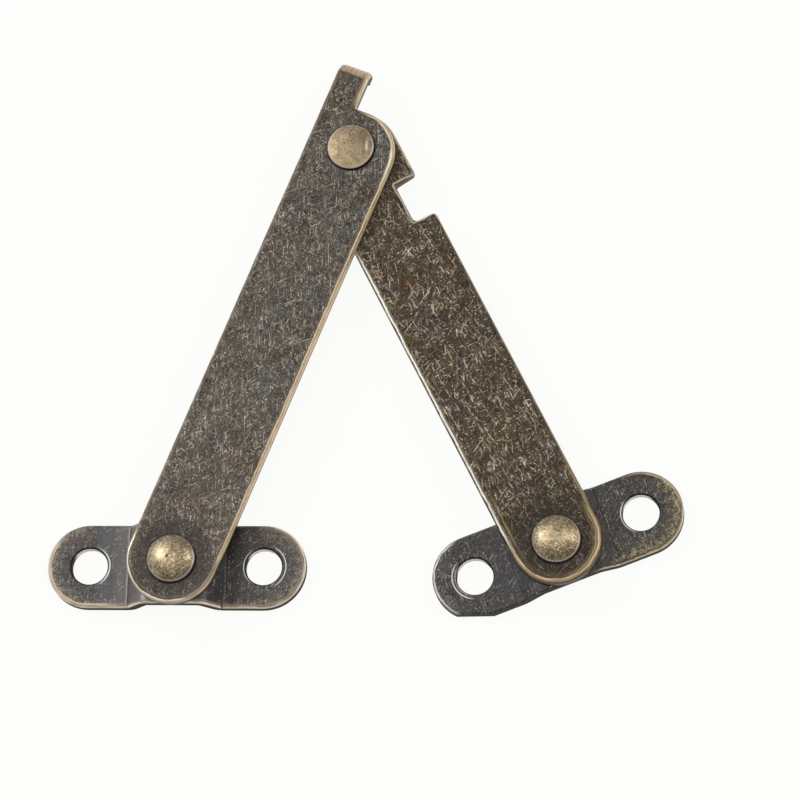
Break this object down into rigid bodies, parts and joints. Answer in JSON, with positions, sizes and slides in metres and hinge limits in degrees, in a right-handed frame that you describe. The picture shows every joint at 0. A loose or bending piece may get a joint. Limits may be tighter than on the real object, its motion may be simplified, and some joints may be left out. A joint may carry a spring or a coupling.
{
  "type": "lid stay",
  "caption": "Folding lid stay for a small box: flat arms riveted at an elbow, a folded stop tab that meets a notch, and a joggled base plate with screw holes at each end.",
  "frame": {"origin": "on the mounting plane, under the left pivot rivet, at the centre of the left base plate's screw holes", "axes": "+X along the left base plate towards the right base plate, +Z out of the mounting plane, +Y from the base plates towards the elbow"},
  "size_m": [0.0726, 0.0655, 0.0063],
  "materials": {
    "plated_arm": "antique bronze plating on stamped steel, tumbled, edges rubbed to brass",
    "plated_base": "antique bronze plating on stamped steel, darker, with slate patches",
    "rivet_dome": "mottled antique gold, satin",
    "rivet_button": "tan brown satin with a rubbed rim"
  },
  "bodies": {
    "left_plate": {"left_base_plate": "plated_base", "left_pivot_rivet": "rivet_dome"},
    "hook_arm": {"hook_arm": "plated_arm", "elbow_rivet": "rivet_button"},
    "notched_arm": {"notched_arm": "plated_arm"},
    "right_plate": {"right_base_plate": "plated_base", "right_pivot_rivet": "rivet_dome"}
  },
  "joints": [
    {"name": "left_pivot", "type": "hinge", "parent": "left_plate", "child": "hook_arm", "pos_m": [0, 0, 0.0043], "axis": [0, 0, 1], "continuous": true},
    {"name": "elbow", "type": "hinge", "parent": "hook_arm", "child": "notched_arm", "pos_m": [0.0188, 0.04923, 0.003], "axis": [0, 0, 1], "range_deg": [-15.5, 122.5]},
    {"name": "right_pivot", "type": "hinge", "parent": "notched_arm", "child": "right_plate", "pos_m": [0.04354, 0.0027, 0.0018], "axis": [0, 0, 1], "continuous": true}
  ]
}
